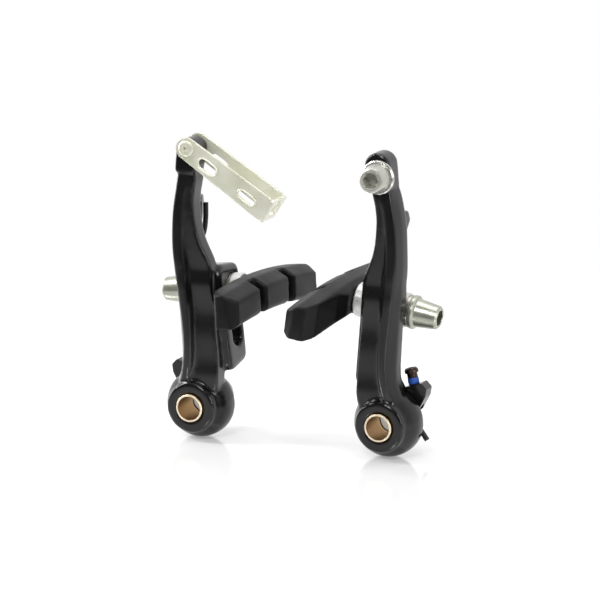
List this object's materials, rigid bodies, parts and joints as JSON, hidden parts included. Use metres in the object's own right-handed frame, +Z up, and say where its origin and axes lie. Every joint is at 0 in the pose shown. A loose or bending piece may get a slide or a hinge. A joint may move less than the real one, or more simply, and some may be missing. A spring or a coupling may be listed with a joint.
{
  "type": "v brake",
  "caption": "Linear-pull bicycle rim brake: a pair of cast arms that pivot on frame bosses, with grooved pads, return springs, a riveted cable link and a cable anchor bolt.",
  "frame": {"origin": "midway between the two pivot axes, on the mounting face at the back of the pivots", "axes": "+X to the right as seen from the front, +Y backward to the bicycle frame along the pivots, +Z up the arms"},
  "size_m": [0.0989, 0.0701, 0.103],
  "materials": {
    "arm_paint": "gloss black over a cast arm",
    "bronze": "turned bronze",
    "steel": "plain steel",
    "holder_plastic": "gloss black plastic",
    "spring_black": "black spring wire",
    "screw_dark": "dark screw with a blue nylon patch",
    "pad_rubber": "moulded rubber",
    "bright_plate": "bright plated steel",
    "zinc": "pale yellow zinc plate"
  },
  "bodies": {
    "pivots": {"left_pivot_bush": "bronze", "right_pivot_bush": "bronze", "left_rear_bush": "steel", "right_rear_bush": "steel", "left_spring_holder": "holder_plastic", "right_spring_holder": "holder_plastic", "left_spring": "spring_black", "right_spring": "spring_black"},
    "left_adjuster": {"left_adjusting_screw": "screw_dark"},
    "right_adjuster": {"right_adjusting_screw": "screw_dark"},
    "left_lever": {"left_arm": "arm_paint", "link_rivet": "zinc"},
    "right_lever": {"right_arm": "arm_paint", "anchor_bolt": "bright_plate", "anchor_washer": "bright_plate"},
    "link": {"cable_link": "zinc"},
    "left_slider": {"left_inner_dome_washer": "steel", "left_outer_dome_washer": "steel"},
    "right_slider": {"right_inner_dome_washer": "steel", "right_outer_dome_washer": "steel"},
    "left_toe": {"left_inner_cup_washer": "bright_plate", "left_outer_cup_washer": "bright_plate"},
    "right_toe": {"right_inner_cup_washer": "bright_plate", "right_outer_cup_washer": "bright_plate"},
    "left_shoe": {"left_pad": "pad_rubber", "left_pad_stud": "steel", "left_pad_nut": "zinc", "left_flat_washer": "steel"},
    "right_shoe": {"right_pad": "pad_rubber", "right_pad_stud": "steel", "right_pad_nut": "zinc", "right_flat_washer": "steel"}
  },
  "joints": [
    {"name": "left_arm_swing", "type": "hinge", "parent": "pivots", "child": "left_lever", "pos_m": [-0.03375, -0.012, 0], "axis": [0, 1, 0], "range_deg": [-14, 6], "stiffness_Nm_per_rad": 0.96, "springref_deg": -0.46, "deforming": ["left_spring"]},
    {"name": "right_arm_swing", "type": "hinge", "parent": "pivots", "child": "right_lever", "pos_m": [0.03375, -0.012, 0], "axis": [0, -1, 0], "range_deg": [-14, 6], "stiffness_Nm_per_rad": 0.96, "springref_deg": -0.46, "deforming": ["right_spring"]},
    {"name": "left_spring_adjust", "type": "hinge", "parent": "pivots", "child": "left_adjuster", "pos_m": [-0.04115, -0.0086, 0.0092], "axis": [0.2257, 0, 0.9742], "range_deg": [-360, 360]},
    {"name": "right_spring_adjust", "type": "hinge", "parent": "pivots", "child": "right_adjuster", "pos_m": [0.04115, -0.0086, 0.0092], "axis": [-0.2257, 0, 0.9742], "range_deg": [-360, 360]},
    {"name": "link_swing", "type": "hinge", "parent": "left_lever", "child": "link", "pos_m": [-0.03375, -0.01975, 0.0878], "axis": [0, 1, 0], "range_deg": [-55, 30]},
    {"name": "left_pad_height", "type": "slide", "parent": "left_lever", "child": "left_slider", "axis": [-0.1045, 0, 0.9945], "range_m": [-0.009, 0.0015]},
    {"name": "right_pad_height", "type": "slide", "parent": "right_lever", "child": "right_slider", "axis": [0.1045, 0, 0.9945], "range_m": [-0.009, 0.0015]},
    {"name": "left_pad_toe", "type": "hinge", "parent": "left_slider", "child": "left_toe", "pos_m": [-0.02853, -0.008, 0.03768], "axis": [-0.1045, 0, 0.9945], "range_deg": [-4, 4]},
    {"name": "right_pad_toe", "type": "hinge", "parent": "right_slider", "child": "right_toe", "pos_m": [0.02853, -0.008, 0.03768], "axis": [0.1045, 0, 0.9945], "range_deg": [-4, 4]},
    {"name": "left_pad_swivel", "type": "hinge", "parent": "left_toe", "child": "left_shoe", "pos_m": [-0.02853, -0.008, 0.03768], "axis": [0.9976, 0, 0.0698], "range_deg": [-15, 15]},
    {"name": "right_pad_swivel", "type": "hinge", "parent": "right_toe", "child": "right_shoe", "pos_m": [0.02853, -0.008, 0.03768], "axis": [-0.9903, 0, 0.1392], "range_deg": [-15, 15]}
  ]
}
